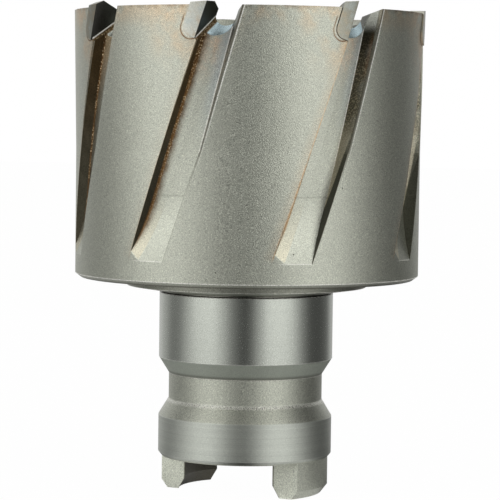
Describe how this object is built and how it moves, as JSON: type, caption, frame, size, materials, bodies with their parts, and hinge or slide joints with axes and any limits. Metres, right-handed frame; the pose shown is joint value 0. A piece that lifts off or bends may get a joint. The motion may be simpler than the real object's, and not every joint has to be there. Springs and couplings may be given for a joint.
{
  "type": "hole cutter",
  "caption": "Carbide-tipped hole cutter with helical flutes on a plain quick-change shank with drive dogs, for cutting a ring out of steel plate.",
  "frame": {"origin": "centre of the drive dogs' end plane, on the tool's axis, where it stands", "axes": "+Z along the axis from the shank to the teeth, +X through the outer corner of the first tooth's cutting edge, +Y completes a right-handed frame"},
  "size_m": [0.0644, 0.0642, 0.089],
  "materials": {
    "steel": "satin, blasted",
    "carbide": "ground"
  },
  "bodies": {
    "root": {"cutter_body": "steel", "carbide_tip_1": "carbide", "carbide_tip_2": "carbide", "carbide_tip_3": "carbide", "carbide_tip_4": "carbide", "carbide_tip_5": "carbide", "carbide_tip_6": "carbide", "carbide_tip_7": "carbide", "carbide_tip_8": "carbide"}
  },
  "joints": []
}
